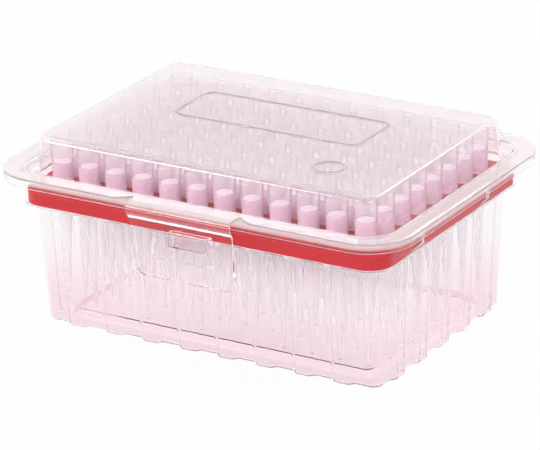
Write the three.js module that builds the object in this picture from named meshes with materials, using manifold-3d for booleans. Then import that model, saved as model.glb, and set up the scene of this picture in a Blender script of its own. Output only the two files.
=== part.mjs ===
// A hinged clear box of pipette tips: a fluted thermoformed tray, a moulded rack plate that stands on a
// ledge inside it, 96 tips hanging through the plate, a clear lid on a living hinge and a fold-down latch.
// Millimetres, +Z up. X runs along the long side, the latch is at -Y and the hinge at +Y.
// The origin is the middle of the foot, on the surface that the box stands on.
import * as THREE from 'three';
import { mergeVertices } from 'three/addons/utils/BufferGeometryUtils.js';
import Module from 'manifold-3d';

const wasm = await Module();
wasm.setup();

// ---- Driving dimensions ----

const GAP = 0.3; // clearance between separate pieces
const BITE = 0.2; // how far joined forms run into each other before they are united
const OVERCUT = 1; // how far a cutting form runs past the faces that it opens

// Tip grid
const PITCH = 9;
const COLUMNS = 12;
const ROWS = 8;
const LOOSE_ROWS = 4; // rows next to the latch whose tips are pieces of their own

// Pipette tip
const TIP_SIDES = 8;
const TIP_LENGTH = 43.2;
const COLLAR_HEIGHT = 7;
const COLLAR_TOP_RADIUS = 2.9;
const COLLAR_FOOT_RADIUS = 2.8;
const BODY_RADIUS = 2.35; // just below the collar
const BORE_RADIUS = 2.4; // at the mouth
const POINT_RADIUS = 0.5;
const POINT_BORE_RADIUS = 0.2;

// Rack plate
const DECK_THICKNESS = 1.2;
const SKIRT_HEIGHT = 2.8; // from the ledge seat to the top of the deck
const SKIRT_WALL = 1.2;

// Thermoformed tray, sized round the grid of tips that it carries
const SHEET = 0.6;
const END_MARGIN = 5.3; // from the last tips' axes to the outside of the wall at the foot
const SIDE_MARGIN = 4.3;
const FOOT_CORNER = 3;
const FOOT_FILLET = 0.8;
const WALL_DRAFT = 2.1; // how far each wall leans out between the foot and the ledge
const WALL_CORNER = 4.2;
const PANEL_RISE = 2.4; // the floor stands this far above the foot
const FOOT_RIM = 5.6; // width of the foot around the raised floor
const PANEL_CORNER = 2.5;
const POINT_CLEARANCE = 2.1; // from the floor up to the points of the tips
const END_LEDGE = 3.4; // from the top of the wall out to the band
const SIDE_LEDGE = 4.3;
const BAND_HEIGHT = 9.55; // from the underside of the ledge to the top of the flange
const BAND_CORNER = 8;
const BAND_DRAFT = 0.3;
const END_FLANGE = 5.5; // from the band out to the rim
const SIDE_FLANGE = 5.15;
const FLANGE_CORNER = 13.6;
const FLANGE_LIP = 1.2; // how far the rim turns down below the flange
const FLANGE_FILLET = 0.5;

// Flutes: upright ribs pressed outwards in the tray's wall, spread evenly between its corners
const SIDE_RIBS = 8;
const SIDE_RIB_INSET = 1.8; // from the corner to the first rib's share of the wall
const END_RIBS = 5;
const END_RIB_INSET = 1.05;
const RIB_FACE = 4.8;
const RIB_FLANK = 0.7;
const RIB_DEPTH = 1.5;

// Dents in the end walls that snap into notches in the rack plate's rim
const DENT_SPACING = 37.6;
const DENT_LENGTH = 3.6;
const DENT_HEIGHT = 2.4;
const DENT_DEPTH = 1;
const DENT_RISE = 3.2; // from the underside of the ledge to the middle of the dent

// Catch on the front wall: a hollow wedge astride the ledge, whose lower edge stands furthest out
const CATCH_HEAD_WIDTH = 13.4;
const CATCH_FOOT_WIDTH = 11.8;
const CATCH_HEIGHT = 3.9;
const CATCH_DROP = 2.6; // from the underside of the ledge down to the foot of the catch
const CATCH_HEAD_PROUD = 2.2; // how far each edge stands out of the band
const CATCH_FOOT_PROUD = 3.6;
const CATCH_DRAFT = 0.6;

// Living hinge: a half-round bead along the back of the flange, split at the fold between tray and lid
const HINGE_RADIUS = 1.15;
const HINGE_SETBACK = 4; // from the flange's rounded corners

// Lid
const LID_HEIGHT = 9.65; // from the tray's flange to the top of the lid
const LID_END_MARGIN = 4.1; // from the last tips' axes to the edge of the flat top
const LID_SIDE_MARGIN = 3.9;
const LID_SHOULDER = 1.8; // rounding between the top and the walls
const LID_DRAFT = 0.9;
const LID_CORNER = 3.2; // of the flat top
const LID_FOOT_FILLET = 0.8; // between the walls and the flange
const PANEL_FRAME_LENGTH = 62; // raised frame on the top
const PANEL_FRAME_WIDTH = 22;
const PANEL_FRAME_OFFSET = 7; // from the middle towards the hinge
const PANEL_FRAME_CORNER = 4;
const BEAD_WIDTH = 1.2;
const BEAD_HEIGHT = 0.4;
const RING_RADIUS = 5;
const RING_X = 32;
const RING_Y = -21;

// Latch: a rolled root on the lid's flange and a tab that hangs from its crease
const LATCH_WIDTH = 33.8;
const ROLL_RADIUS = 2;
const CREASE_DROP = 4.8; // from the top of the flange down to the crease
const CREASE_INSET = 1.2; // from the outermost face of the roll in to the crease
const RELIEF_WIDTH = 5;
const RELIEF_DEPTH = 3;
const TAB_LENGTH = 17.9;
const TAB_TAPER = 1.1; // how much narrower the tab is at each side of its free end
const TAB_LEAN = 2.6; // how far the free end stands in from the crease
const TAB_CORNER = 2.6;
const HOOD_TOP_WIDTH = 16.4;
const HOOD_FOOT_WIDTH = 22;
const HOOD_TOP = 1.5; // from the crease down to the hood
const HOOD_LENGTH = 10;
const HOOD_PROUD = 1.5;
const HOOD_DRAFT = 1;

// Facets
const ARC_STEPS = 5; // in a corner of the tray or the lid
const SHOULDER_STEPS = 3; // in the rounding round the lid's top
const SHAPE_STEPS = 4; // in any other curve

// ---- Worked-out sizes ----

const gridLength = (COLUMNS - 1) * PITCH;
const gridWidth = (ROWS - 1) * PITCH;
const footLength = gridLength + 2 * END_MARGIN;
const footWidth = gridWidth + 2 * SIDE_MARGIN;
const bandLength = footLength + 2 * (WALL_DRAFT + END_LEDGE);
const bandWidth = footWidth + 2 * (WALL_DRAFT + SIDE_LEDGE);
const flangeLength = bandLength + 2 * END_FLANGE;
const flangeWidth = bandWidth + 2 * SIDE_FLANGE;
const sideRibPitch = (footLength - 2 * (FOOT_CORNER + SIDE_RIB_INSET)) / SIDE_RIBS;
const endRibPitch = (footWidth - 2 * (FOOT_CORNER + END_RIB_INSET)) / END_RIBS;

const tipPoint = PANEL_RISE + SHEET + POINT_CLEARANCE;
const collarSeat = tipPoint + TIP_LENGTH - COLLAR_HEIGHT;
const deckTop = collarSeat - GAP;
const plateFoot = deckTop - SKIRT_HEIGHT;
const ledgeFoot = plateFoot - GAP - SHEET;
const flangeTop = ledgeFoot + BAND_HEIGHT;
const lidFlangeFoot = flangeTop + GAP;
const lidFlangeTop = lidFlangeFoot + SHEET;
const lidTop = flangeTop + LID_HEIGHT;
const foldHeight = flangeTop + GAP / 2;

const flangeFront = -flangeWidth / 2;
const flangeBack = flangeWidth / 2;
const catchFoot = ledgeFoot - CATCH_DROP;
const rollMiddle = new THREE.Vector2(flangeFront - GAP, lidFlangeTop - ROLL_RADIUS);
const crease = new THREE.Vector2(rollMiddle.x - ROLL_RADIUS + CREASE_INSET, lidFlangeTop - CREASE_DROP);

// ---- Solids ----

function toSolid(geometry) {
  const bare = geometry.clone();
  bare.deleteAttribute('normal');
  bare.deleteAttribute('uv');
  const merged = mergeVertices(bare, 1e-4);
  return new wasm.Manifold(new wasm.Mesh({
    numProp: 3,
    vertProperties: merged.attributes.position.array,
    triVerts: new Uint32Array(merged.index.array),
  }));
}

function toGeometry(solid) {
  const mesh = solid.getMesh();
  const geometry = new THREE.BufferGeometry();
  geometry.setAttribute('position', new THREE.BufferAttribute(mesh.vertProperties, 3));
  geometry.setIndex(new THREE.BufferAttribute(mesh.triVerts, 1));
  const faceted = geometry.toNonIndexed();
  faceted.computeVertexNormals();
  return faceted;
}

// A rounded rectangle let out by the same distance all round, or drawn in by a negative one.
function letOut({ length, width, corner }, by) {
  return { length: length + 2 * by, width: width + 2 * by, corner: corner + by };
}

// One level of a rounded rectangle, anticlockwise. With a ribDepth its straight sides carry the flutes.
function level({ length, width, corner, z, ribDepth = 0 }) {
  const points = [];
  for (let quarter = 0; quarter < 4; quarter += 1) {
    const turn = (quarter * Math.PI) / 2;
    const outwards = new THREE.Vector2(1, 0).rotateAround(new THREE.Vector2(), turn);
    const along = new THREE.Vector2(0, 1).rotateAround(new THREE.Vector2(), turn);
    const isEnd = quarter % 2 === 0;
    const reach = (isEnd ? length : width) / 2;
    const run = (isEnd ? width : length) / 2;
    const place = (s, proud) => {
      const point = outwards.clone().multiplyScalar(reach + proud).addScaledVector(along, s);
      points.push(new THREE.Vector3(point.x, point.y, z));
    };
    const count = isEnd ? END_RIBS : SIDE_RIBS;
    const pitch = isEnd ? endRibPitch : sideRibPitch;
    for (let i = 0; ribDepth > 0 && i < count; i += 1) {
      const middle = (i - (count - 1) / 2) * pitch;
      place(middle - RIB_FACE / 2 - RIB_FLANK, 0);
      place(middle - RIB_FACE / 2, ribDepth);
      place(middle + RIB_FACE / 2, ribDepth);
      place(middle + RIB_FACE / 2 + RIB_FLANK, 0);
    }
    const arc = new THREE.EllipseCurve(0, 0, corner, corner, turn, turn + Math.PI / 2);
    const middle = outwards.clone().multiplyScalar(reach - corner).addScaledVector(along, run - corner);
    for (const step of arc.getPoints(ARC_STEPS)) {
      points.push(new THREE.Vector3(middle.x + step.x, middle.y + step.y, z));
    }
  }
  return points;
}

// A closed solid through levels that all have the same number of points, from the lowest to the highest.
function loft(levels) {
  const positions = levels.flat().flatMap((p) => [p.x, p.y, p.z]);
  const count = levels[0].length;
  const index = [];
  for (let row = 0; row < levels.length - 1; row += 1) {
    for (let i = 0; i < count; i += 1) {
      const a = row * count + i;
      const b = row * count + ((i + 1) % count);
      index.push(a, b, b + count, a, b + count, a + count);
    }
  }
  const flat = (points) => points.map((p) => new THREE.Vector2(p.x, p.y));
  const last = (levels.length - 1) * count;
  for (const [a, b, c] of THREE.ShapeUtils.triangulateShape(flat(levels[0]), [])) {
    index.push(c, b, a);
  }
  for (const [a, b, c] of THREE.ShapeUtils.triangulateShape(flat(levels.at(-1)), [])) {
    index.push(last + a, last + b, last + c);
  }
  const geometry = new THREE.BufferGeometry();
  geometry.setAttribute('position', new THREE.Float32BufferAttribute(positions, 3));
  geometry.setIndex(index);
  return toSolid(geometry);
}

function roundedShape({ length, width, corner }) {
  const x = length / 2;
  const y = width / 2;
  const shape = new THREE.Shape();
  shape.moveTo(x - corner, -y);
  shape.absarc(x - corner, -y + corner, corner, -Math.PI / 2, 0);
  shape.absarc(x - corner, y - corner, corner, 0, Math.PI / 2);
  shape.absarc(-x + corner, y - corner, corner, Math.PI / 2, Math.PI);
  shape.absarc(-x + corner, -y + corner, corner, Math.PI, 1.5 * Math.PI);
  return shape;
}

// A flat solid of the shape's outline between two heights.
function plateSolid(shape, foot, top, curveSegments = SHAPE_STEPS) {
  const options = { depth: top - foot, bevelEnabled: false, curveSegments };
  return toSolid(new THREE.ExtrudeGeometry(shape, options).translate(0, 0, foot));
}

// A solid whose section lies across the box, in Y and Z, and runs along X about the middle.
function acrossSolid(shape, length) {
  const options = { depth: length, bevelEnabled: false, curveSegments: SHAPE_STEPS };
  const geometry = new THREE.ExtrudeGeometry(shape, options);
  geometry.translate(0, 0, -length / 2);
  geometry.applyMatrix4(new THREE.Matrix4().makeBasis(
    new THREE.Vector3(0, 1, 0),
    new THREE.Vector3(0, 0, 1),
    new THREE.Vector3(1, 0, 0),
  ));
  return toSolid(geometry);
}

// One half of the hinge bead, above the fold for the lid or below it for the tray.
function hingeHalf(isUpper) {
  const inner = HINGE_RADIUS - SHEET;
  const outerStart = Math.asin(GAP / 2 / HINGE_RADIUS);
  const innerStart = Math.asin(GAP / 2 / inner);
  const section = new THREE.Shape();
  section.absarc(0, 0, HINGE_RADIUS, outerStart, Math.PI / 2, false);
  section.absarc(0, 0, inner, Math.PI / 2, innerStart, true);
  const strip = acrossSolid(section, flangeLength - 2 * (FLANGE_CORNER + HINGE_SETBACK));
  const half = isUpper ? strip : strip.mirror([0, 0, 1]);
  return half.translate([0, flangeBack - BITE, foldHeight]);
}

// ---- Tray ----

// Everything that the tray's skin encloses, drawn in by inset: the outside at 0, the inside at SHEET.
function trayBlock(inset) {
  const footBox = { length: footLength, width: footWidth, corner: FOOT_CORNER };
  const wallBox = { ...letOut(footBox, WALL_DRAFT), corner: WALL_CORNER };
  const bandBox = { length: bandLength, width: bandWidth, corner: BAND_CORNER };
  const flangeFoot = flangeTop - SHEET;
  const section = (box, by, z, ribDepth) => level({ ...letOut(box, by - inset), z: z + inset, ribDepth });
  const walls = loft([
    section(footBox, -FOOT_FILLET, 0, RIB_DEPTH),
    section(footBox, 0, FOOT_FILLET, RIB_DEPTH),
    section(wallBox, 0, ledgeFoot + BITE, RIB_DEPTH),
  ]);
  const band = loft([
    section(bandBox, -BAND_DRAFT, ledgeFoot),
    section(bandBox, 0, flangeFoot - FLANGE_FILLET),
    section(bandBox, FLANGE_FILLET, flangeFoot),
    section(bandBox, FLANGE_FILLET, flangeFoot + BITE),
  ]);
  return walls.add(band);
}

function floorStep(inset) {
  const panel = { length: footLength, width: footWidth, corner: FOOT_RIM + PANEL_CORNER };
  return plateSolid(roundedShape(letOut(panel, inset - FOOT_RIM)), -OVERCUT, PANEL_RISE + inset);
}

// The four dents as solid forms. depth is how far they reach in from the band, and grow enlarges them.
function dents(depth, grow = 0) {
  const form = new THREE.OctahedronGeometry(1)
    .scale(depth + grow, DENT_LENGTH / 2 + grow, DENT_HEIGHT / 2 + grow);
  const dent = toSolid(form);
  const places = [];
  for (const x of [-bandLength / 2, bandLength / 2]) {
    for (const y of [-DENT_SPACING / 2, DENT_SPACING / 2]) {
      places.push(dent.translate([x, y, ledgeFoot + DENT_RISE]));
    }
  }
  return wasm.Manifold.union(places);
}

// The catch, drawn in by inset. Its root stays inside the wall, so only the wedge shows.
function catchNose(inset) {
  const band = bandWidth / 2;
  const root = footWidth / 2 - 2 * SHEET;
  const corners = (spread, headReach, footReach) => {
    const head = CATCH_HEAD_WIDTH / 2 + spread - inset;
    const foot = CATCH_FOOT_WIDTH / 2 + spread - inset;
    const top = CATCH_HEIGHT + spread - inset;
    const bottom = inset - spread;
    return [
      new THREE.Vector3(-foot, bottom, footReach),
      new THREE.Vector3(foot, bottom, footReach),
      new THREE.Vector3(head, top, headReach),
      new THREE.Vector3(-head, top, headReach),
    ];
  };
  const lying = loft([
    corners(CATCH_DRAFT, root, root),
    corners(0, band + CATCH_HEAD_PROUD - inset, band + CATCH_FOOT_PROUD - inset),
  ]);
  return lying.rotate([90, 0, 0]).translate([0, 0, catchFoot]);
}

function buildTray() {
  const rim = { length: flangeLength, width: flangeWidth, corner: FLANGE_CORNER };
  const lipFoot = flangeTop - SHEET - FLANGE_LIP;
  const flange = plateSolid(roundedShape(rim), lipFoot, flangeTop);
  const underFlange = plateSolid(roundedShape(letOut(rim, -SHEET)), lipFoot - OVERCUT, flangeTop - SHEET);
  const outside = trayBlock(0).add(catchNose(0)).subtract(dents(DENT_DEPTH)).subtract(floorStep(0));
  const inside = trayBlock(SHEET).add(catchNose(SHEET)).subtract(dents(DENT_DEPTH + SHEET))
    .subtract(floorStep(SHEET));
  return flange.subtract(underFlange).add(hingeHalf(false)).add(outside).subtract(inside);
}

// ---- Rack plate and tips ----

function tipPlaces() {
  const places = [];
  for (let row = 0; row < ROWS; row += 1) {
    for (let column = 0; column < COLUMNS; column += 1) {
      places.push({
        name: `tip_${'abcdefgh'[row]}${column + 1}`,
        x: column * PITCH - gridLength / 2,
        y: gridWidth / 2 - row * PITCH,
        loose: row >= ROWS - LOOSE_ROWS,
      });
    }
  }
  return places;
}

// The tip's wall, turned about its own axis, with its point at the origin.
function tipGeometry() {
  const shoulder = TIP_LENGTH - COLLAR_HEIGHT;
  const profile = [
    [POINT_RADIUS, 0],
    [BODY_RADIUS, shoulder],
    [COLLAR_FOOT_RADIUS, shoulder],
    [COLLAR_TOP_RADIUS, TIP_LENGTH],
    [BORE_RADIUS, TIP_LENGTH],
    [POINT_BORE_RADIUS, 0],
    [POINT_RADIUS, 0],
  ].map(([r, z]) => new THREE.Vector2(r, z));
  return new THREE.LatheGeometry(profile, TIP_SIDES).rotateX(Math.PI / 2);
}

// Where a tip is a piece of its own its hole clears it, and where it is joined the hole lies in its wall.
// The rim clears the band where that is narrowest, at the ledge, and is notched round the dents.
function buildPlate(places) {
  const band = { length: bandLength, width: bandWidth, corner: BAND_CORNER };
  const plateBox = letOut(band, -BAND_DRAFT - SHEET - GAP);
  const outline = roundedShape(plateBox);
  const clearHole = BODY_RADIUS + GAP;
  const boreShare = (TIP_LENGTH - COLLAR_HEIGHT) / TIP_LENGTH;
  const boreAtDeck = POINT_BORE_RADIUS + (BORE_RADIUS - POINT_BORE_RADIUS) * boreShare;
  const joinedHole = (BODY_RADIUS + boreAtDeck) / 2;
  for (const { x, y, loose } of places) {
    outline.holes.push(new THREE.Path().absarc(x, y, loose ? clearHole : joinedHole, 0, 2 * Math.PI, true));
  }
  const plate = plateSolid(outline, plateFoot, deckTop, TIP_SIDES / 2);
  const underDeck = deckTop - DECK_THICKNESS;
  const pocket = plateSolid(roundedShape(letOut(plateBox, -SKIRT_WALL)), plateFoot - OVERCUT, underDeck);
  const notches = dents(DENT_DEPTH + SHEET, 2 * GAP);
  const tip = toSolid(tipGeometry());
  const joined = places.filter((place) => !place.loose)
    .map(({ x, y }) => tip.translate([x, y, tipPoint - GAP - BITE]));
  return wasm.Manifold.union([plate.subtract(pocket).subtract(notches), ...joined]);
}

// ---- Lid ----

// The lid's dome, drawn in by inset: the outside at 0, which is rooted in the flange, and the inside at
// SHEET, which runs down through the flange to open the dome from below.
function dome(inset) {
  const top = {
    length: gridLength + 2 * LID_END_MARGIN,
    width: gridWidth + 2 * LID_SIDE_MARGIN,
    corner: LID_CORNER,
  };
  const shoulder = LID_SHOULDER - inset;
  const foot = shoulder + LID_DRAFT;
  const flangeLevel = lidFlangeTop - inset;
  const root = inset > 0 ? OVERCUT : BITE;
  const levels = [
    level({ ...letOut(top, foot + LID_FOOT_FILLET), z: flangeLevel - root }),
    level({ ...letOut(top, foot + LID_FOOT_FILLET), z: flangeLevel }),
    level({ ...letOut(top, foot), z: flangeLevel + LID_FOOT_FILLET }),
  ];
  for (let i = 0; i <= SHOULDER_STEPS; i += 1) {
    const angle = (i / SHOULDER_STEPS) * (Math.PI / 2);
    const z = lidTop - LID_SHOULDER + shoulder * Math.sin(angle);
    levels.push(level({ ...letOut(top, shoulder * Math.cos(angle)), z }));
  }
  return loft(levels);
}

// The sheet of the latch root: out over the rim of the flange and rolled down to the crease.
function latchRoot() {
  const outer = ROLL_RADIUS;
  const inner = ROLL_RADIUS - SHEET;
  const { x: middleY, y: middleZ } = rollMiddle;
  const halfway = (middleZ + crease.y) / 2;
  const section = new THREE.Shape();
  section.moveTo(flangeFront + BITE, lidFlangeTop);
  section.absarc(middleY, middleZ, outer, Math.PI / 2, Math.PI, false);
  section.quadraticCurveTo(middleY - outer, halfway, crease.x, crease.y);
  section.lineTo(crease.x + SHEET, crease.y);
  section.quadraticCurveTo(middleY - inner, halfway, middleY - inner, middleZ);
  section.absarc(middleY, middleZ, inner, Math.PI, Math.PI / 2, true);
  section.lineTo(flangeFront + BITE, lidFlangeFoot);
  return acrossSolid(section, LATCH_WIDTH);
}

// Notches that free the latch root from the flange at each side, each running out in an S to the rim.
function reliefs() {
  const near = LATCH_WIDTH / 2;
  const far = near + RELIEF_WIDTH;
  const middle = (near + far) / 2;
  const end = flangeFront + RELIEF_DEPTH;
  const notch = new THREE.Shape();
  notch.moveTo(near, flangeFront - OVERCUT);
  notch.lineTo(near, end);
  notch.bezierCurveTo(middle, end, middle, flangeFront, far, flangeFront);
  notch.lineTo(far, flangeFront - OVERCUT);
  const right = plateSolid(notch, lidFlangeFoot - OVERCUT, lidFlangeTop + OVERCUT);
  return right.add(right.mirror([1, 0, 0]));
}

// Beads on the top: a plain frame and a small ring.
function beads() {
  const foot = lidTop - BITE;
  const head = lidTop + BEAD_HEIGHT;
  const frameBox = { length: PANEL_FRAME_LENGTH, width: PANEL_FRAME_WIDTH, corner: PANEL_FRAME_CORNER };
  const frame = roundedShape(frameBox);
  frame.holes.push(roundedShape(letOut(frameBox, -BEAD_WIDTH)));
  const ring = new THREE.Shape().absarc(0, 0, RING_RADIUS, 0, 2 * Math.PI);
  ring.holes.push(new THREE.Path().absarc(0, 0, RING_RADIUS - BEAD_WIDTH, 0, 2 * Math.PI, true));
  return plateSolid(frame, foot, head).translate([0, PANEL_FRAME_OFFSET, 0])
    .add(plateSolid(ring, foot, head, 2 * SHAPE_STEPS).translate([RING_X, RING_Y, 0]));
}

function buildLid() {
  const rim = { length: flangeLength, width: flangeWidth, corner: FLANGE_CORNER };
  const flange = plateSolid(roundedShape(rim), lidFlangeFoot, lidFlangeTop);
  return flange.subtract(reliefs()).add(latchRoot()).add(hingeHalf(true))
    .add(dome(0)).subtract(dome(SHEET)).add(beads());
}

// ---- Latch tab ----

// The tab is drawn flat in X and Y, hanging towards -Y from its crease at the origin, with its outer face up,
// and then turned down into place.
function buildLatchTab() {
  const top = LATCH_WIDTH / 2;
  const foot = top - TAB_TAPER;
  const outline = new THREE.Shape();
  outline.moveTo(top, 0);
  outline.lineTo(foot, -TAB_LENGTH + TAB_CORNER);
  outline.quadraticCurveTo(foot, -TAB_LENGTH, foot - TAB_CORNER, -TAB_LENGTH);
  outline.lineTo(-foot + TAB_CORNER, -TAB_LENGTH);
  outline.quadraticCurveTo(-foot, -TAB_LENGTH, -foot, -TAB_LENGTH + TAB_CORNER);
  outline.lineTo(-top, 0);
  const hood = (drawnIn, z) => {
    const upper = HOOD_TOP_WIDTH / 2 - drawnIn;
    const lower = HOOD_FOOT_WIDTH / 2 - drawnIn;
    const head = -HOOD_TOP - drawnIn;
    const foot = -HOOD_TOP - HOOD_LENGTH + drawnIn;
    return [
      new THREE.Vector3(-upper, head, z),
      new THREE.Vector3(-lower, foot, z),
      new THREE.Vector3(lower, foot, z),
      new THREE.Vector3(upper, head, z),
    ];
  };
  const outer = loft([hood(0, -SHEET), hood(0, 0), hood(HOOD_DRAFT, HOOD_PROUD)]);
  const inner = loft([
    hood(SHEET, -SHEET - OVERCUT),
    hood(SHEET, -SHEET),
    hood(SHEET + HOOD_DRAFT, HOOD_PROUD - SHEET),
  ]);
  const tab = plateSolid(outline, -SHEET, 0).add(outer).subtract(inner);
  const lean = THREE.MathUtils.radToDeg(Math.asin(TAB_LEAN / TAB_LENGTH));
  return tab.rotate([90 + lean, 0, 0]).translate([0, crease.x, crease.y - GAP]);
}

// ---- Assembly ----

const clearPlastic = new THREE.MeshStandardMaterial({
  color: 0xe9e4e6, roughness: 0.08, metalness: 0, transparent: true, opacity: 0.4,
});
const redPlastic = new THREE.MeshStandardMaterial({ color: 0xd92b35, roughness: 0.35, metalness: 0 });
const tipPlastic = new THREE.MeshStandardMaterial({
  color: 0xe9cbe0, roughness: 0.3, metalness: 0, transparent: true, opacity: 0.85,
});

const box = new THREE.Group();
box.name = 'pipette_tip_box';

function addPart(name, geometry, material, parent = box) {
  const mesh = new THREE.Mesh(geometry, material);
  mesh.name = name;
  parent.add(mesh);
  return mesh;
}

const places = tipPlaces();
addPart('base_tray', toGeometry(buildTray()), clearPlastic);
addPart('rack_plate', toGeometry(buildPlate(places)), redPlastic);
addPart('lid', toGeometry(buildLid()), clearPlastic);
addPart('latch_tab', toGeometry(buildLatchTab()), clearPlastic);

const tip = tipGeometry();
for (const { name, x, y, loose } of places) {
  if (loose) {
    addPart(name, tip, tipPlastic).position.set(x, y, tipPoint);
  }
}

export default box;
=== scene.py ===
import math
import bmesh
import bpy
from mathutils import Matrix, Vector


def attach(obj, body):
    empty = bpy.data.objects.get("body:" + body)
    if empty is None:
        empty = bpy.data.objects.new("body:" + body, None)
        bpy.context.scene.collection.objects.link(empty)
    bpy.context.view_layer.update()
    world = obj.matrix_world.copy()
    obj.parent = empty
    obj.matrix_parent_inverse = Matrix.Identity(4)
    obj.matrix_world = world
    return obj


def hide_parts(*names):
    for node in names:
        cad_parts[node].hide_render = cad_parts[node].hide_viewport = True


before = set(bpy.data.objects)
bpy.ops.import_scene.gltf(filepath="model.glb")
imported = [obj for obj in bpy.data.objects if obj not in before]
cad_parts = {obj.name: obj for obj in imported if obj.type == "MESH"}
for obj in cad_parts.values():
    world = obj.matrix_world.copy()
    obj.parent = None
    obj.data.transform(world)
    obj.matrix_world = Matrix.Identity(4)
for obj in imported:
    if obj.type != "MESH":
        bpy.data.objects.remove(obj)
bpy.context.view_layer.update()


# ---- Room and camera ----
# A pale floor in a white room, lit by three soft lamps, two in front and one behind. The camera looks down
# at the box from in front of its latch and a little to the right, with a long lens. Lengths are in metres.
AIM = Vector((0.00179, -0.00385, 0.028))
AZIMUTH = math.radians(31.72)
ELEVATION = math.radians(21.47)
ROLL = math.radians(-1.62)
CAMERA_DISTANCE = 1.08365
CAMERA_LENS = 253.6
CAMERA_FILM = 36
CAMERA_REACH = 20
ROOM_LIGHT = 0.72
CLEAR_BOUNCES = 64
MIRROR_BOUNCES = 48
LAMPS = (  # name, place, width and power
    ("lamp_left", (-0.9, -1.1, 0.7), 0.45, 5.5),
    ("lamp_right", (1.1, -0.8, 0.6), 0.45, 3.9),
    ("lamp_back", (0.2, 1.3, 1.3), 0.6, 4.5),
)
FLOOR_SIZE = 8
FLOOR_HEIGHT = -0.0003
FLOOR_SHADE = 0.9
FLOOR_ROUGHNESS = 0.9
FLOOR_GLOW = 0.95  # how much of the floor that is looked at is plain white, and shows no shadow


def feed(tree, socket, value):
    """Gives a socket a number, a colour or another node's output."""
    if isinstance(value, bpy.types.NodeSocket):
        tree.links.new(value, socket)
    elif isinstance(value, tuple):
        socket.default_value = (*value, 1)
    else:
        socket.default_value = value


def add_node(tree, kind, **sockets):
    """A new node, with these values fed to its sockets, whose names have underscores for their spaces."""
    node = tree.nodes.new(kind)
    for name, value in sockets.items():
        feed(tree, node.inputs[name.replace("_", " ")], value)
    return node


def maths(tree, operation, *values):
    """The answer of one sum."""
    node = tree.nodes.new("ShaderNodeMath")
    node.operation = operation
    for socket, value in zip(node.inputs, values):
        feed(tree, socket, value)
    return node.outputs[0]


def mix_shaders(tree, share, first, second):
    """A shader between two, by a share from 0 to 1."""
    mix = tree.nodes.new("ShaderNodeMixShader")
    for socket, value in zip(mix.inputs, (share, first.outputs[0], second.outputs[0])):
        tree.links.new(value, socket)
    return mix.outputs[0]


def new_material(name):
    """A material, the nodes in it and its main shader."""
    material = bpy.data.materials.new(name)
    material.use_nodes = True
    return material, material.node_tree, material.node_tree.nodes["Principled BSDF"]


def seen_directly(tree):
    """Light Path's answer to whether the eye, a reflection or a clear piece looks at the surface."""
    path = tree.nodes.new("ShaderNodeLightPath")
    eye_or_mirror = maths(tree, "MAXIMUM", path.outputs["Is Camera Ray"], path.outputs["Is Glossy Ray"])
    return maths(tree, "MAXIMUM", eye_or_mirror, path.outputs["Is Transmission Ray"])


scene = bpy.context.scene
scene.view_settings.view_transform = "Standard"
scene.cycles.max_bounces = CLEAR_BOUNCES
scene.cycles.glossy_bounces = MIRROR_BOUNCES
scene.cycles.transmission_bounces = CLEAR_BOUNCES
scene.cycles.transparent_max_bounces = CLEAR_BOUNCES

world = bpy.data.worlds.new("white_room")
scene.world = world
world.use_nodes = True
tree = world.node_tree
soft_light = tree.nodes["Background"]
soft_light.inputs["Color"].default_value = (1, 1, 1, 1)
soft_light.inputs["Strength"].default_value = ROOM_LIGHT
white = add_node(tree, "ShaderNodeBackground", Color=(1, 1, 1), Strength=1)
room_mix = mix_shaders(tree, seen_directly(tree), soft_light, white)
tree.links.new(room_mix, tree.nodes["World Output"].inputs["Surface"])

back = Vector((
    math.sin(AZIMUTH) * math.cos(ELEVATION),
    -math.cos(AZIMUTH) * math.cos(ELEVATION),
    math.sin(ELEVATION),
))
right = Vector((math.cos(AZIMUTH), math.sin(AZIMUTH), 0))
up = back.cross(right)
turned_right = right * math.cos(ROLL) + up * math.sin(ROLL)
turned_up = up * math.cos(ROLL) - right * math.sin(ROLL)
camera_turn = Matrix((turned_right, turned_up, back)).transposed().to_4x4()
camera_data = bpy.data.cameras.new("camera")
camera_data.lens = CAMERA_LENS
camera_data.sensor_width = CAMERA_FILM
camera_data.clip_end = CAMERA_REACH
camera = bpy.data.objects.new("camera", camera_data)
camera.matrix_world = Matrix.Translation(AIM + CAMERA_DISTANCE * back) @ camera_turn
scene.collection.objects.link(camera)
scene.camera = camera

for name, place, width, power in LAMPS:
    lamp_data = bpy.data.lights.new(name, "AREA")
    lamp_data.shape = "SQUARE"
    lamp_data.size = width
    lamp_data.energy = power
    lamp = bpy.data.objects.new(name, lamp_data)
    lamp.location = place
    lamp.rotation_euler = (AIM - Vector(place)).to_track_quat("-Z", "Y").to_euler()
    scene.collection.objects.link(lamp)

floor_shape = bmesh.new()
bmesh.ops.create_grid(floor_shape, x_segments=1, y_segments=1, size=FLOOR_SIZE / 2,
                      matrix=Matrix.Translation((0, 0, FLOOR_HEIGHT)))
floor_mesh = bpy.data.meshes.new("floor")
floor_shape.to_mesh(floor_mesh)
floor_shape.free()
floor = bpy.data.objects.new("floor", floor_mesh)
scene.collection.objects.link(floor)
floor_paint, tree, floor_skin = new_material("pale_floor")
floor_skin.inputs["Base Color"].default_value = (FLOOR_SHADE, FLOOR_SHADE, FLOOR_SHADE, 1)
floor_skin.inputs["Roughness"].default_value = FLOOR_ROUGHNESS
glow = add_node(tree, "ShaderNodeEmission", Strength=1)
glow_share = maths(tree, "MULTIPLY", seen_directly(tree), FLOOR_GLOW)
floor_mix = mix_shaders(tree, glow_share, floor_skin, glow)
tree.links.new(floor_mix, tree.nodes["Material Output"].inputs["Surface"])
floor_mesh.materials.append(floor_paint)


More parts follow.
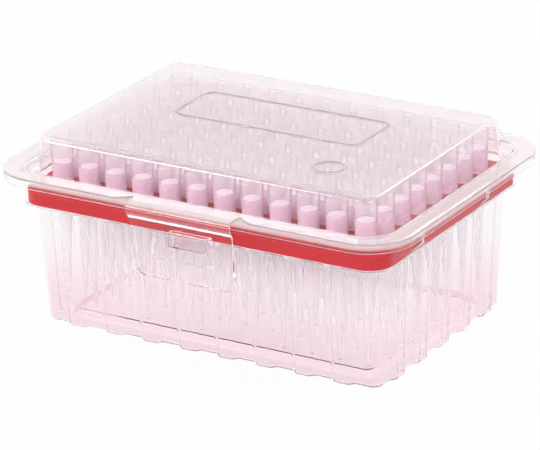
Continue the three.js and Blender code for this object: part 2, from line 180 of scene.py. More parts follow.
# ---- Tray ----
# One sheet of clear plastic, thermoformed: a raised floor panel, walls pressed into upright flutes, a ledge
# for the rack plate, a straight band, and a flange with its rim turned down.
MILLIMETRE = 0.001  # lengths are in millimetres from here on
SHEET = 0.5
LEDGE_HEIGHT = 36.5
FLANGE_HEIGHT = 46.25
LIP_HEIGHT = 44.4
PANEL = (49.2, 30.2, 2.5, 2.4)  # half the length, half the width, the corner's radius and the height
RIM_INSIDE = (50.0, 31.0, 3.3, 0.0)
FOOT = (54.8, 35.8, 3.0, 0.0)
WALL_TOP = (56.9, 37.9, 4.2, LEDGE_HEIGHT)
BAND_FOOT = (60.0, 41.9, 7.7, LEDGE_HEIGHT)
BAND_TOP = (60.3, 42.2, 8.0, FLANGE_HEIGHT)
FLANGE_RIM = (65.2, 46.75, 13.0, FLANGE_HEIGHT)
LIP_FOOT = (65.2, 46.75, 13.0, LIP_HEIGHT)
FOLD_RADII = (0.25, 0.9, 1.2, 0.6, 0.8, 0.8, 0.4)
CORNER_STEPS = 8
SIDE_FLUTES = [-43.75 + 12.5 * i for i in range(8)]
END_FLUTES = [-25.4 + 12.7 * i for i in range(5)]
FLUTE_FACE = 3.6
FLUTE_FLANK = 2.0
FLUTE_DEPTH = 1.5
FLANK_STEPS = 6
FLUTES_UP_TO = 37.4
CUTS_UP_TO = 38
SIDE_WALL = (33, 40, 50)  # a side wall lies between the first two, and its flutes within the third
END_WALL = (51, 58.5, 32)
PANEL_SIDES = 30  # the floor panel has more sides than this, and isn't cut
BAND_END = (59, 61)
BAND_HEIGHTS = (38, 46)
DENTS = (-18.8, 18.8)
DENT_HALF = 1.9
DENT_MARK = 0.35
DENT_HEIGHTS = (38.6, 41.8, 43.0)
DENT_DEPTH = 0.95
# Painted highlight: the middle of each dent, over DENT_MARK to either side, loses this much clearness and
# shows white.
DENT_PAINTED_HIGHLIGHT = 0.75
# Painted reflection: the tray's flange and the top of its lip lose clearness, so a pale veil stands in for
# the white room mirrored in them.
TRAY_FLANGE_PAINTED_VEIL_CLEARNESS = 0.72
TRAY_FLANGE_PAINTED_VEIL_HEIGHTS = (45, 45.8)
# Painted glow: the pink low on the tray stands in for the red plate's light reaching the floor panel and
# foot.
TRAY_LOW_PAINTED_PLATE_GLOW = (0.975, 0.87, 0.905)
TRAY_HIGH_TINT = (0.993, 0.972, 0.982)
TRAY_INDEX = 1.26
TINT_HEIGHTS = (4, 26)
SHEET_SHADOW = (0.985, 0.98, 0.982)
SHEET_ROUGHNESS = (0.01, 0.03)
WELD = 0.0005  # vertices this close are one
NEAR = 0.05  # a vertex this close to a line is on it
SQUARELY = 0.9  # a face looks along an axis when its normal has more than this of it
SHARP_ANGLE = math.radians(40)


def by_height(tree, heights, low, high):
    """A number that goes from low to high between two heights."""
    where = tree.nodes.new("ShaderNodeTexCoord")
    axes = tree.nodes.new("ShaderNodeSeparateXYZ")
    tree.links.new(where.outputs["Object"], axes.inputs[0])
    start, end = heights
    ramp = add_node(tree, "ShaderNodeMapRange", From_Min=start * MILLIMETRE, From_Max=end * MILLIMETRE,
                    To_Min=low, To_Max=high, Value=axes.outputs["Z"])
    ramp.interpolation_type = "SMOOTHSTEP"
    return ramp.outputs["Result"]


def shade_between(tree, share, first, second):
    """A colour between two, by a share from 0 to 1."""
    mix = tree.nodes.new("ShaderNodeMix")
    mix.data_type = "RGBA"
    for name, value in (("Factor", share), ("A", first), ("B", second)):
        feed(tree, mix.inputs[name], value)
    return mix.outputs["Result"]


def fine_noise(tree, scale, detail=2):
    """A noise that stays with the piece."""
    where = tree.nodes.new("ShaderNodeTexCoord")
    noise = add_node(tree, "ShaderNodeTexNoise", Scale=scale, Detail=detail, Vector=where.outputs["Object"])
    return noise.outputs["Fac"]


def spread_over(tree, noise, low, high):
    """The noise as a number between low and high."""
    return add_node(tree, "ShaderNodeMapRange", To_Min=low, To_Max=high, Value=noise).outputs["Result"]


def add_bump(tree, skin, height, strength, distance):
    """Lets a noise stand out of the surface."""
    bump = add_node(tree, "ShaderNodeBump", Strength=strength, Distance=distance, Height=height)
    tree.links.new(bump.outputs["Normal"], skin.inputs["Normal"])


def let_lamps_through(tree, skin, colour):
    """Puts a plain tinted pane in for the lamps' rays only, so that what is behind is lit."""
    path = tree.nodes.new("ShaderNodeLightPath")
    pane = add_node(tree, "ShaderNodeBsdfTransparent", Color=colour)
    mix = mix_shaders(tree, path.outputs["Is Shadow Ray"], skin, pane)
    tree.links.new(mix, tree.nodes["Material Output"].inputs["Surface"])


def clear_plastic(name, low_tint_and_painted_glow, high_tint, index):
    """Clear sheet with a faint wavy surface, tinted by its height; on the tray the pink low down is painted
    glow from the red plate. Lamps shine through it.
    """
    material, tree, skin = new_material(name)
    tint_and_painted_glow = shade_between(tree, by_height(tree, TINT_HEIGHTS, 0, 1), low_tint_and_painted_glow, high_tint)
    tree.links.new(tint_and_painted_glow, skin.inputs["Base Color"])
    skin.inputs["IOR"].default_value = index
    skin.inputs["Transmission Weight"].default_value = 1
    wave = fine_noise(tree, scale=90)
    tree.links.new(spread_over(tree, wave, *SHEET_ROUGHNESS), skin.inputs["Roughness"])
    add_bump(tree, skin, wave, strength=0.08, distance=0.0004)
    let_lamps_through(tree, skin, SHEET_SHADOW)
    return material, tree, skin


def round_corners(bm, corners, radius, steps):
    """Rounds these corners of a flat face, and gives back the vertices of the rounds."""
    return bmesh.ops.bevel(bm, geom=corners, offset=radius, offset_type="OFFSET", segments=steps,
                           profile=0.5, affect="VERTICES", material=-1)["verts"]


def rounded_loop(bm, half_length, half_width, corner, height, middle=(0, 0), filled=False):
    """A rounded rectangle lying at that height: its loop of edges, with or without its face."""
    place = Matrix.Translation((*middle, height)) @ Matrix.Diagonal((half_length, half_width, 1, 1))
    corners = bmesh.ops.create_grid(bm, x_segments=1, y_segments=1, size=1, matrix=place)["verts"]
    face = round_corners(bm, corners, corner, CORNER_STEPS)[0].link_faces[0]
    edges = list(face.edges)
    if not filled:
        bmesh.ops.delete(bm, geom=[face], context="FACES_ONLY")
    return edges


def join_levels(bm, levels):
    """Bridges each loop to the next, which is held far above meanwhile so that the two pair up well."""
    far_above = Vector((0, 0, 100))
    for lower, upper in zip(levels, levels[1:]):
        raised = list({vert for edge in upper for vert in edge.verts})
        bmesh.ops.translate(bm, vec=far_above, verts=raised)
        bmesh.ops.bridge_loops(bm, edges=lower + upper)
        bmesh.ops.translate(bm, vec=-far_above, verts=raised)


def round_over(bm, edges, radius, steps=3):
    """Rounds a fold of the sheet."""
    bmesh.ops.bevel(bm, geom=edges, offset=radius, offset_type="OFFSET", segments=steps, profile=0.5,
                    affect="EDGES", material=-1)


def cut_across(bm, faces, axis, place):
    """Cuts these faces along the plane where that axis has that value."""
    normal = Vector((0, 0, 0))
    normal[axis] = 1
    edges = {edge for face in faces for edge in face.edges}
    verts = {vert for face in faces for vert in face.verts}
    bmesh.ops.bisect_plane(bm, geom=[*faces, *edges, *verts], dist=0.0001, plane_co=normal * place,
                           plane_no=normal)


def ease(share):
    """A share from 0 to 1 that starts and ends gently."""
    return share * share * (3 - 2 * share)


def finish_piece(name, bm, material, wall=0.0, face_out=(0, 0, 1)):
    """Makes the mesh, drawn in millimetres, an object in metres. A sheet has its wall laid on its inside,
    and its outer side is the one that the face furthest along face_out shows."""
    bmesh.ops.remove_doubles(bm, verts=bm.verts, dist=WELD)
    bmesh.ops.recalc_face_normals(bm, faces=bm.faces)
    outwards = Vector(face_out)
    outermost = max(bm.faces, key=lambda face: face.calc_center_median().dot(outwards))
    if outermost.normal.dot(outwards) < 0:
        bmesh.ops.reverse_faces(bm, faces=bm.faces)
    bmesh.ops.scale(bm, vec=(MILLIMETRE, MILLIMETRE, MILLIMETRE), verts=bm.verts)
    mesh = bpy.data.meshes.new(name)
    bm.to_mesh(mesh)
    bm.free()
    mesh.materials.append(material)
    piece = bpy.data.objects.new(name, mesh)
    scene.collection.objects.link(piece)
    if wall:
        solid = piece.modifiers.new("wall", "SOLIDIFY")
        solid.thickness = wall * MILLIMETRE
        solid.offset = -1
        solid.use_even_offset = True
        solid.use_quality_normals = True
        walled = piece.evaluated_get(bpy.context.evaluated_depsgraph_get())
        piece.data = bpy.data.meshes.new_from_object(walled)
        piece.modifiers.clear()
        bpy.data.meshes.remove(mesh)
        piece.data.name = name
    piece.data.shade_smooth()
    piece.data.set_sharp_from_angle(angle=SHARP_ANGLE)
    even = piece.modifiers.new("even_shading", "WEIGHTED_NORMAL")
    even.keep_sharp = True
    return piece


def flute(along, flutes):
    """How far the wall stands out at a place along it."""
    away = min(abs(along - middle) for middle in flutes)
    return FLUTE_DEPTH * ease(min(max((FLUTE_FACE / 2 + FLUTE_FLANK - away) / FLUTE_FLANK, 0), 1))


def between(limits, place):
    """Whether a place is past the first limit and short of the second."""
    return limits[0] < place < limits[1]


def fluted_faces():
    """The tray's foot and walls, without the floor panel."""
    return [face for face in tray_shape.faces
            if len(face.verts) < PANEL_SIDES and face.calc_center_median().z < CUTS_UP_TO]


def band_ends():
    """The two ends of the tray's band."""
    return [face for face in tray_shape.faces
            if abs(face.normal.x) > SQUARELY and between(BAND_HEIGHTS, face.calc_center_median().z)]


tray_shape = bmesh.new()
tray_levels = [rounded_loop(tray_shape, *PANEL, filled=True)]
for level in (RIM_INSIDE, FOOT, WALL_TOP, BAND_FOOT, BAND_TOP, FLANGE_RIM, LIP_FOOT):
    tray_levels.append(rounded_loop(tray_shape, *level))
join_levels(tray_shape, tray_levels)
for level, radius in zip(tray_levels, FOLD_RADII):
    round_over(tray_shape, level, radius)

for axis, flutes in ((0, SIDE_FLUTES), (1, END_FLUTES)):
    for middle in flutes:
        for step in range(FLANK_STEPS + 1):
            away = FLUTE_FACE / 2 + FLUTE_FLANK * step / FLANK_STEPS
            for place in (middle - away, middle + away):
                cut_across(tray_shape, fluted_faces(), axis, place)
for vert in tray_shape.verts:
    x, y, z = vert.co
    if z < FLUTES_UP_TO and between(SIDE_WALL, abs(y)) and abs(x) < SIDE_WALL[2]:
        vert.co.y += math.copysign(flute(x, SIDE_FLUTES), y)
    if z < FLUTES_UP_TO and between(END_WALL, abs(x)) and abs(y) < END_WALL[2]:
        vert.co.x += math.copysign(flute(y, END_FLUTES), x)

# Painted highlight: the vertices down the middle of each dent are marked, and the sheet is painted white
# there.
dent_highlight = tray_shape.verts.layers.float.new("dent_highlight")
for height in DENT_HEIGHTS:
    cut_across(tray_shape, band_ends(), 2, height)
for middle in DENTS:
    for offset in (-DENT_HALF, -DENT_MARK, 0, DENT_MARK, DENT_HALF):
        cut_across(tray_shape, band_ends(), 1, middle + offset)
dent_foot, dent_deepest, dent_head = DENT_HEIGHTS
for vert in tray_shape.verts:
    x, y, z = vert.co
    if between(BAND_END, abs(x)) and min(abs(y - middle) for middle in DENTS) < NEAR:
        vert[dent_highlight] = 1 if dent_foot - NEAR < z < dent_head + NEAR else 0
        if abs(z - dent_deepest) < NEAR:
            vert.co.x -= math.copysign(DENT_DEPTH, x)

tray_plastic, tree, tray_skin = clear_plastic("clear_tray_sheet", TRAY_LOW_PAINTED_PLATE_GLOW, TRAY_HIGH_TINT, TRAY_INDEX)
# The dents' painted highlight and the flange's painted reflection take clearness away, so the sheet shows
# white there.
dent_highlight_mask = tree.nodes.new("ShaderNodeAttribute")
dent_highlight_mask.attribute_name = "dent_highlight"
tray_flange_painted_veil_clearness = by_height(tree, TRAY_FLANGE_PAINTED_VEIL_HEIGHTS, 1, TRAY_FLANGE_PAINTED_VEIL_CLEARNESS)
clearness_after_painted_light = maths(tree, "MULTIPLY_ADD", dent_highlight_mask.outputs["Fac"], -DENT_PAINTED_HIGHLIGHT, tray_flange_painted_veil_clearness)
tree.links.new(clearness_after_painted_light, tray_skin.inputs["Transmission Weight"])
tray = finish_piece("tray_shell", tray_shape, tray_plastic, SHEET, face_out=(0, 0, -1))
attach(tray, "tray")
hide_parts("base_tray")


# ---- Rack plate ----
# Red moulded plate with a hole for each of the 96 tips and a short skirt round its rim, which stands on the
# ledge of the tray. Injection moulded, with a satin face.
PLATE = (58.9, 40.9, 6.8)
DECK_TOP = 41.0
PLATE_FOOT = 37.05
PLATE_FOLD = 0.5
DECK_THICKNESS = 1.2
HOLE_RADIUS = 2.65
CIRCLE_STEPS = 24
PITCH = 9.0
COLUMNS = [PITCH * (i - 5.5) for i in range(12)]
ROWS = [PITCH * (3.5 - i) for i in range(8)]
DEEP_RED = (0.52, 0.009, 0.017)
LIGHT_RED = (0.58, 0.013, 0.022)


def circle_loop(bm, radius, height, middle):
    """A circle lying at that height: its loop of edges."""
    place = Matrix.Translation((*middle, height))
    circle = bmesh.ops.create_circle(bm, segments=CIRCLE_STEPS, radius=radius, matrix=place)
    return list({edge for vert in circle["verts"] for edge in vert.link_edges})


def fill_flat(bm, edges):
    """Fills what lies between an outline and the loops inside it."""
    bmesh.ops.triangle_fill(bm, use_beauty=True, edges=edges, normal=(0, 0, 1))


plate_shape = bmesh.new()
deck_edge = rounded_loop(plate_shape, *PLATE, DECK_TOP)
holes = []
for x in COLUMNS:
    for y in ROWS:
        holes += circle_loop(plate_shape, HOLE_RADIUS, DECK_TOP, (x, y))
fill_flat(plate_shape, deck_edge + holes)
skirt_foot = rounded_loop(plate_shape, *PLATE, PLATE_FOOT)
join_levels(plate_shape, [deck_edge, skirt_foot])
round_over(plate_shape, deck_edge, PLATE_FOLD)

red_plastic, tree, red_skin = new_material("red_moulding")
red_skin.inputs["Roughness"].default_value = 0.45
red_skin.inputs["IOR"].default_value = 1.3
red_skin.inputs["Subsurface Weight"].default_value = 0.15
red_skin.inputs["Subsurface Radius"].default_value = (0.004, 0.001, 0.001)
grain = fine_noise(tree, scale=700, detail=4)
tree.links.new(shade_between(tree, grain, DEEP_RED, LIGHT_RED), red_skin.inputs["Base Color"])
add_bump(tree, red_skin, grain, strength=0.2, distance=0.0001)

plate = finish_piece("rack_plate_moulding", plate_shape, red_plastic, DECK_THICKNESS)
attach(plate, "tray")
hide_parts("rack_plate")


# ---- Tips ----
# 96 disposable pipette tips, moulded in translucent plastic. Each rests on the plate by its wide head,
# which has fine upright ribs under a smooth rim. A porous filter is pressed into the foot of the head.
TIP_POINT = 4.82
TIP_STEPS = 56
TIP_PROFILE = (  # radius and height, from the mouth of the bore up the outside and down the inside
    (0.22, 0.0), (0.5, 0.0), (0.56, 0.4), (0.95, 10.0), (1.62, 24.0), (2.28, 35.6), (2.35, 36.2),
    (2.78, 36.22), (2.9, 36.5), (3.35, 47.6), (3.41, 47.85), (3.41, 48.4), (3.34, 48.58),
    (3.06, 48.58), (2.93, 48.3), (2.42, 36.9), (1.95, 35.6), (1.42, 24.0), (0.75, 10.0), (0.22, 0.0),
)
RIB_FOOT = 36.4
RIB_TOP = 47.7
RIB_GROOVE = 0.2
HEAD_OUTSIDE = 2.85  # only the outside of the head and its rim are wider than this
FILTER_STEPS = 24
FILTER_PROFILE = ((0, 37.2), (2.3, 37.2), (2.4, 37.5), (2.64, 42.8), (2.48, 43.2), (0, 43.2))
HEAD_BEGINS = (40.6, 41.6)  # heights over the floor, between which one look passes into the next
FILTER_ENDS = (47.5, 48.5)
BODY_SHADE = (1, 0.985, 0.995)
# Painted light on the heads: their pink stands in for the red plate's light and stays as painted shade in
# the grooves. The ridges and rim are painted white as highlights, and the head's top a paler painted pink.
HEAD_PAINTED_PLATE_GLOW = (0.93, 0.62, 0.82)
HEAD_TOP_PAINTED_PLATE_GLOW = (0.99, 0.88, 0.94)
RIDGE_PAINTED_HIGHLIGHT = (1, 0.99, 0.995)
BODY_CLEARNESS = 0.9
HEAD_CLEARNESS = 0.5
CLEARER_TOP = 0.3
TIP_INDEX = 1.18
TIP_ROUGHNESS = (0.06, 0.12)
TIP_SHADOW = (0.995, 0.988, 0.992)
FILTER_DARK = (0.94, 0.80, 0.91)
FILTER_LIGHT = (0.97, 0.85, 0.95)
ROW_LETTERS = "abcdefgh"
LOOSE_ROWS = "efgh"  # the other rows are one solid with the plate in the frame


def turned(bm, profile, steps):
    """Spins a profile of radius and height all the way round the upright axis."""
    corners = [bm.verts.new((radius, 0, height)) for radius, height in profile]
    outline = [bm.edges.new(pair) for pair in zip(corners, corners[1:])]
    bmesh.ops.spin(bm, geom=corners + outline, cent=(0, 0, 0), axis=(0, 0, 1), angle=math.tau, steps=steps,
                   use_merge=True)
    bmesh.ops.remove_doubles(bm, verts=bm.verts, dist=WELD)


def repeat_along_row(bm):
    """Copies a shape drawn on the upright axis to all the places of a row."""
    bmesh.ops.translate(bm, vec=(COLUMNS[0], 0, TIP_POINT), verts=bm.verts)
    bmesh.ops.spin(bm, geom=bm.verts[:] + bm.edges[:] + bm.faces[:], cent=(0, 0, 0), axis=(0, 0, 1),
                   dvec=(PITCH, 0, 0), angle=0, steps=len(COLUMNS) - 1, use_duplicate=True)


tip_shape = bmesh.new()
turned(tip_shape, TIP_PROFILE, TIP_STEPS)
# The ridges and the rim are marked for a painted highlight.
ridge_highlight = tip_shape.verts.layers.float.new("ridge_highlight")
for vert in tip_shape.verts:
    radius = vert.co.xy.length
    turn = round(math.atan2(vert.co.y, vert.co.x) / math.tau * TIP_STEPS)
    if radius > HEAD_OUTSIDE and vert.co.z > RIB_FOOT:
        if vert.co.z < RIB_TOP and turn % 2:
            vert.co.xy *= (radius - RIB_GROOVE) / radius
        else:
            vert[ridge_highlight] = 1
repeat_along_row(tip_shape)
filter_shape = bmesh.new()
turned(filter_shape, FILTER_PROFILE, FILTER_STEPS)
repeat_along_row(filter_shape)

tip_plastic, tree, tip_skin = new_material("milky_tip_plastic")
ridge_highlights = tree.nodes.new("ShaderNodeAttribute")
ridge_highlights.attribute_name = "ridge_highlight"
# The heads' pink is painted light from the red plate, left darker in the grooves and painted white on the
# ridges as highlights.
tip_shade = shade_between(tree, by_height(tree, HEAD_BEGINS, 0, 1), BODY_SHADE, HEAD_PAINTED_PLATE_GLOW)
tip_shade = shade_between(tree, by_height(tree, FILTER_ENDS, 0, 1), tip_shade, HEAD_TOP_PAINTED_PLATE_GLOW)
tip_shade = shade_between(tree, ridge_highlights.outputs["Fac"], tip_shade, RIDGE_PAINTED_HIGHLIGHT)
tree.links.new(tip_shade, tip_skin.inputs["Base Color"])
tip_clearness = maths(tree, "ADD", by_height(tree, HEAD_BEGINS, BODY_CLEARNESS, HEAD_CLEARNESS),
                      by_height(tree, FILTER_ENDS, 0, CLEARER_TOP))
tree.links.new(tip_clearness, tip_skin.inputs["Transmission Weight"])
tip_skin.inputs["IOR"].default_value = TIP_INDEX
mottle = fine_noise(tree, scale=400)
tree.links.new(spread_over(tree, mottle, *TIP_ROUGHNESS), tip_skin.inputs["Roughness"])
let_lamps_through(tree, tip_skin, TIP_SHADOW)

filter_fibre, tree, fibre_skin = new_material("porous_filter")
fibre_skin.inputs["Roughness"].default_value = 0.8
fibre_skin.inputs["Subsurface Weight"].default_value = 0.3
fibre_skin.inputs["Subsurface Radius"].default_value = (0.002, 0.0015, 0.002)
crumbs = fine_noise(tree, scale=2500)
tree.links.new(shade_between(tree, crumbs, FILTER_DARK, FILTER_LIGHT), fibre_skin.inputs["Base Color"])
add_bump(tree, fibre_skin, crumbs, strength=0.4, distance=0.0001)

for letter, y in zip(ROW_LETTERS, ROWS):
    held_by = ["rack_plate"]
    if letter in LOOSE_ROWS:
        held_by = [f"tip_{letter}{i + 1}" for i in range(len(COLUMNS))]
    for kind, shape, material in (("tip", tip_shape, tip_plastic), ("filter", filter_shape, filter_fibre)):
        row_shape = shape.copy()
        bmesh.ops.translate(row_shape, vec=(0, y, 0), verts=row_shape.verts)
        row = finish_piece(f"{kind}_row_{letter}", row_shape, material)
        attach(row, "tray")
        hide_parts(*held_by)
tip_shape.free()
filter_shape.free()


# ---- Lid ----
# A second thermoformed sheet: a shallow dome with a raised frame and a ring in its top, a channel round its
# foot that plugs into the tray's band, and a flange that lies on the tray's. The front of the flange rolls
# over and down to the crease where the latch hangs.
LID_HEIGHT = 56.5
CHANNEL_HEIGHT = 44.3
LID_FLANGE_HEIGHT = 47.3
LID_TOP = (55.4, 37.2, 5.0, LID_HEIGHT)
DOME_FOOT = (56.6, 38.4, 6.2, CHANNEL_HEIGHT)
CHANNEL_FOOT = (58.7, 40.6, 7.4, CHANNEL_HEIGHT)
CHANNEL_TOP = (59.2, 41.1, 7.9, LID_FLANGE_HEIGHT)
FLANGE_EDGE = (65.4, 46.95, 13.2, LID_FLANGE_HEIGHT)
FLANGE_END = (65.8, 47.35, 13.6, LID_FLANGE_HEIGHT)
LID_FOLDS = ((1.8, 5), (0.6, 3), (0.6, 3), (0.8, 3))  # radius and steps, from the top down
PANEL_FRAME = (31.0, 11.0, 4.0)
PANEL_MIDDLE = (0, 7)
RING_MIDDLE = (32, -21)
RING_RADIUS = 5.0
BEAD_WIDTH = 1.2
BEAD_HEIGHT = 0.38
BEAD_DRAFT = 0.3
LATCH_HALF = 16.9
RELIEF_WIDTH = 5.0
RELIEF_DEPTH = 3.0
RELIEF_GAP = 0.25
RELIEF_STEPS = 8
FRONT_STRIP = (-41, 46.8)  # the flange's front is further forward and higher than this
EDGE_SHARE = 0.92  # how much of the relief the flange's edge takes, just inside its end
ROLL_MIDDLE = (-47.65, 45.3)
ROLL_RADIUS = 2.0
ROLL_STEPS = 6
ROLL_TURN = math.radians(90)
CREASE = (-48.45, 42.95)
CREASE_STEPS = 4
# Painted reflection: the lid's level faces lose some clearness, so the bright sky they mirror is painted in
# as a pale veil, more on the flange than the top.
LID_FLANGE_PAINTED_REFLECTION = 0.17
LID_TOP_PAINTED_REFLECTION = 0.14
LID_PAINTED_REFLECTION_HEIGHTS = (50, 55)
LID_PAINTED_REFLECTION_SLOPE = 0.75  # a face that lies flatter than this gets the painted reflection
LID_LOW_TINT = (0.99, 0.97, 0.975)
LID_HIGH_TINT = (0.995, 0.955, 0.965)
LID_INDEX = 1.5


def pressed_bead(bm, loop_at):
    """Four loops over a bead that stands up from the sheet: returns its outer and inner foot."""
    outer = loop_at(0, 0)
    crown = loop_at(BEAD_DRAFT, BEAD_HEIGHT)
    inner_crown = loop_at(BEAD_WIDTH - BEAD_DRAFT, BEAD_HEIGHT)
    inner = loop_at(BEAD_WIDTH, 0)
    join_levels(bm, [outer, crown, inner_crown, inner])
    return outer, inner


def frame_loop(inwards, rise):
    """The raised frame's outline, drawn in by so much and lifted by so much."""
    length, width, corner = PANEL_FRAME
    return rounded_loop(lid_shape, length - inwards, width - inwards, corner - inwards, LID_HEIGHT + rise,
                        PANEL_MIDDLE)


def ring_loop(inwards, rise):
    """The ring's outline, drawn in by so much and lifted by so much."""
    return circle_loop(lid_shape, RING_RADIUS - inwards, LID_HEIGHT + rise, RING_MIDDLE)


def flange_front():
    """The front strip of the lid's flange."""
    middles = [(face, face.calc_center_median()) for face in lid_shape.faces]
    return [face for face, middle in middles if middle.y < FRONT_STRIP[0] and middle.z > FRONT_STRIP[1]]


def verts_of(geometry):
    """The vertices among what an operator gave back."""
    return [item for item in geometry if isinstance(item, bmesh.types.BMVert)]


def edges_of(geometry):
    """The edges among what an operator gave back."""
    return [item for item in geometry if isinstance(item, bmesh.types.BMEdge)]


def curve_between(start, pull, end, share):
    """A place on the curve from start to end that sets off towards pull."""
    return start * (1 - share) ** 2 + pull * 2 * share * (1 - share) + end * share * share


lid_shape = bmesh.new()
lid_levels = [rounded_loop(lid_shape, *LID_TOP, filled=True)]
for level in (DOME_FOOT, CHANNEL_FOOT, CHANNEL_TOP, FLANGE_EDGE, FLANGE_END):
    lid_levels.append(rounded_loop(lid_shape, *level))
join_levels(lid_shape, lid_levels)
for level, (radius, steps) in zip(lid_levels, LID_FOLDS):
    round_over(lid_shape, level, radius, steps)
flat_top = max(lid_shape.faces, key=lambda face: face.calc_center_median().z)
top_edge = list(flat_top.edges)
bmesh.ops.delete(lid_shape, geom=[flat_top], context="FACES_ONLY")
frame_outer, frame_inner = pressed_bead(lid_shape, frame_loop)
ring_outer, ring_inner = pressed_bead(lid_shape, ring_loop)
for edges in (top_edge + frame_outer + ring_outer, frame_inner, ring_inner):
    fill_flat(lid_shape, edges)

relief_start = LATCH_HALF + RELIEF_GAP
relief_places = [relief_start + RELIEF_WIDTH * i / RELIEF_STEPS for i in range(RELIEF_STEPS + 1)]
for place in [LATCH_HALF] + relief_places:
    for side in (-1, 1):
        cut_across(lid_shape, flange_front(), 0, side * place)
edge_row = NEAR - FLANGE_EDGE[1]
end_row = NEAR - FLANGE_END[1]
for vert in lid_shape.verts:
    past = (abs(vert.co.x) - relief_start) / RELIEF_WIDTH
    if vert.co.y < edge_row and abs(vert.co.x) > relief_start - NEAR and past < 1:
        vert.co.y += RELIEF_DEPTH * ease(1 - max(past, 0)) * (1 if vert.co.y < end_row else EDGE_SHARE)
for vert in lid_shape.verts:
    if vert.co.y < end_row and abs(vert.co.x) < LATCH_HALF + NEAR:
        vert.co.y = ROLL_MIDDLE[0]
root = {vert for vert in lid_shape.verts
        if abs(vert.co.x) < LATCH_HALF + NEAR and vert.co.y < ROLL_MIDDLE[0] + NEAR}
root_edges = [edge for edge in lid_shape.edges if all(vert in root for vert in edge.verts)]
rolled = bmesh.ops.spin(lid_shape, geom=[*root_edges, *root], cent=(0, *ROLL_MIDDLE), axis=(1, 0, 0),
                        angle=ROLL_TURN, steps=ROLL_STEPS)["geom_last"]
roll_end = Vector((0, ROLL_MIDDLE[0] - ROLL_RADIUS, ROLL_MIDDLE[1]))
pull = Vector((0, roll_end.y, (roll_end.z + CREASE[1]) / 2))
path = [roll_end] + [curve_between(roll_end, pull, Vector((0, *CREASE)), step / CREASE_STEPS)
                     for step in range(1, CREASE_STEPS + 1)]
rim = edges_of(rolled)
for start, end in zip(path, path[1:]):
    grown = bmesh.ops.extrude_edge_only(lid_shape, edges=rim)["geom"]
    bmesh.ops.translate(lid_shape, vec=end - start, verts=verts_of(grown))
    rim = [edge for edge in edges_of(grown) if all(vert in grown for vert in edge.verts)]

lid_plastic, tree, lid_skin = clear_plastic("clear_lid_sheet", LID_LOW_TINT, LID_HIGH_TINT, LID_INDEX)
# The painted reflection: a pale veil on the faces that lie level, taken out of the clearness.
where = tree.nodes.new("ShaderNodeTexCoord")
axes = tree.nodes.new("ShaderNodeSeparateXYZ")
tree.links.new(where.outputs["Normal"], axes.inputs[0])
flatness = add_node(tree, "ShaderNodeMapRange", From_Min=LID_PAINTED_REFLECTION_SLOPE,
                    Value=maths(tree, "ABSOLUTE", axes.outputs["Z"]))
flatness.interpolation_type = "SMOOTHSTEP"
strongest_painted_veil = by_height(tree, LID_PAINTED_REFLECTION_HEIGHTS, LID_FLANGE_PAINTED_REFLECTION, LID_TOP_PAINTED_REFLECTION)
painted_veil_share = maths(tree, "MULTIPLY", flatness.outputs["Result"], strongest_painted_veil)
tree.links.new(maths(tree, "SUBTRACT", 1, painted_veil_share), lid_skin.inputs["Transmission Weight"])
lid = finish_piece("lid_shell", lid_shape, lid_plastic, SHEET)
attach(lid, "lid")
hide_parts("lid")


# ---- Latch tab ----
# The flap that hangs from the crease at the front of the lid and snaps over the catch. It is part of the
# lid's sheet, drawn here lying flat, with its hood pressed outwards to clear the catch, and folded down.
TAB_LENGTH = 17.9
TAB_TAPER = 1.1
TAB_CORNER = 2.6
TAB_CORNER_STEPS = 6
TAB_LEAN = 2.6
CREASE_GAP = 0.3
HOOD_TOP_HALF = 8.2
HOOD_FOOT_HALF = 11.0
HOOD_TOP = 1.5
HOOD_LENGTH = 10.0
HOOD_ARCH = 5.0
HOOD_CORNER = 1.6
HOOD_LEVELS = ((0, 0), (0.5, 1.2), (1.0, 1.5))  # how far inwards and how proud, from the flap outwards
TAB_TINT = (0.99, 0.97, 0.975)
TAB_INDEX = 1.27


def four_sided_loop(bm, top_half, foot_half, top, foot, top_radius, foot_radius, height):
    """A flat outline, wider at one end, whose corners are rounded: its loop of edges."""
    spots = ((-foot_half, foot), (foot_half, foot), (top_half, top), (-top_half, top))
    face = bm.faces.new([bm.verts.new((x, y, height)) for x, y in spots])
    for vert, radius in zip(list(face.verts), (foot_radius, foot_radius, top_radius, top_radius)):
        if radius:
            round_corners(bm, [vert], radius, TAB_CORNER_STEPS)
    face = max(bm.faces, key=lambda outline: len(outline.verts))
    edges = list(face.edges)
    bmesh.ops.delete(bm, geom=[face], context="FACES_ONLY")
    return edges


tab_shape = bmesh.new()
tab_edge = four_sided_loop(tab_shape, LATCH_HALF, LATCH_HALF - TAB_TAPER, 0, -TAB_LENGTH, 0, TAB_CORNER, 0)
hood_levels = []
for inwards, proud in HOOD_LEVELS:
    hood_levels.append(four_sided_loop(tab_shape, HOOD_TOP_HALF - inwards, HOOD_FOOT_HALF - inwards,
                                       -HOOD_TOP - inwards, -HOOD_TOP - HOOD_LENGTH + inwards,
                                       HOOD_ARCH, HOOD_CORNER, proud))
join_levels(tab_shape, hood_levels)
fill_flat(tab_shape, tab_edge + hood_levels[0])
fill_flat(tab_shape, hood_levels[-1])
fold = Matrix.Rotation(math.radians(90) + math.asin(TAB_LEAN / TAB_LENGTH), 4, "X")
bmesh.ops.transform(tab_shape, matrix=Matrix.Translation((0, CREASE[0], CREASE[1] - CREASE_GAP)) @ fold,
                    verts=tab_shape.verts)

tab_plastic = clear_plastic("clear_latch_sheet", TAB_TINT, TAB_TINT, TAB_INDEX)[0]
tab = finish_piece("latch_tab_shell", tab_shape, tab_plastic, SHEET, face_out=(0, -1, 0))
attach(tab, "latch")
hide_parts("latch_tab")


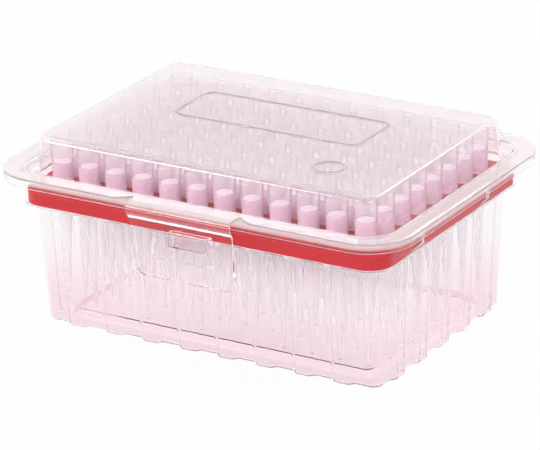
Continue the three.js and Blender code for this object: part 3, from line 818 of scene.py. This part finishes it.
# ---- Catch ----
# A hollow wedge pressed out of the tray's front, astride the ledge. The latch's hood snaps under its foot.
# It is open on the side of the tray, and narrows downwards.
CATCH_PROFILE = ((-42.3, 38.6), (-44.4, 38.6), (-45.8, 34.7), (-38.3, 34.7), (-38.3, 36.45), (-42.3, 36.45))
CATCH_HEAD_HALF = 6.7
CATCH_FOOT_HALF = 5.9
CATCH_FOOT_BELOW = 36
CATCH_STEP_BELOW = 37
CATCH_FOLD = 0.5

catch_shape = bmesh.new()
outline = [catch_shape.verts.new((CATCH_HEAD_HALF, y, z)) for y, z in CATCH_PROFILE]
grown = bmesh.ops.extrude_face_region(catch_shape, geom=[catch_shape.faces.new(outline)])["geom"]
bmesh.ops.translate(catch_shape, vec=(-2 * CATCH_HEAD_HALF, 0, 0), verts=verts_of(grown))
for vert in catch_shape.verts:
    if vert.co.z < CATCH_FOOT_BELOW:
        vert.co.x = math.copysign(CATCH_FOOT_HALF, vert.co.x)
bmesh.ops.recalc_face_normals(catch_shape, faces=catch_shape.faces)
tray_side = [face for face in catch_shape.faces if face.normal.y > SQUARELY
             or face.normal.z > SQUARELY and face.calc_center_median().z < CATCH_STEP_BELOW]
bmesh.ops.delete(catch_shape, geom=tray_side, context="FACES")
round_over(catch_shape, [edge for edge in catch_shape.edges if len(edge.link_faces) == 2], CATCH_FOLD)

catch = finish_piece("catch_wedge", catch_shape, tray_plastic, SHEET, face_out=(0, -1, 0))
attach(catch, "tray")
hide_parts("base_tray")


# ---- Hinge ----
# The fold along the back that joins the two sheets: a half-round bead, whose lower half belongs to the tray
# and whose upper half belongs to the lid.
HINGE_HALF = 48.2
HINGE_RADIUS = 1.1
HINGE_MIDDLE = (47.15, 47.0)
HINGE_GAP = 0.2
HINGE_TURN = math.radians(80)
HINGE_STEPS = 8

for name, body, node, side, plastic in (
    ("hinge_tray_half", "tray", "base_tray", -1, tray_plastic),
    ("hinge_lid_half", "lid", "lid", 1, lid_plastic),
):
    hinge_shape = bmesh.new()
    rim_place = (HINGE_MIDDLE[0] + HINGE_RADIUS, HINGE_MIDDLE[1] + side * HINGE_GAP)
    rim_ends = [hinge_shape.verts.new((x, *rim_place)) for x in (-HINGE_HALF, HINGE_HALF)]
    rim = hinge_shape.edges.new(rim_ends)
    bmesh.ops.spin(hinge_shape, geom=rim_ends + [rim], cent=(0, *HINGE_MIDDLE), axis=(1, 0, 0),
                   angle=side * HINGE_TURN, steps=HINGE_STEPS)
    hinge = finish_piece(name, hinge_shape, plastic, SHEET, face_out=(0, 1, 0))
    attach(hinge, body)
    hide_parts(node)
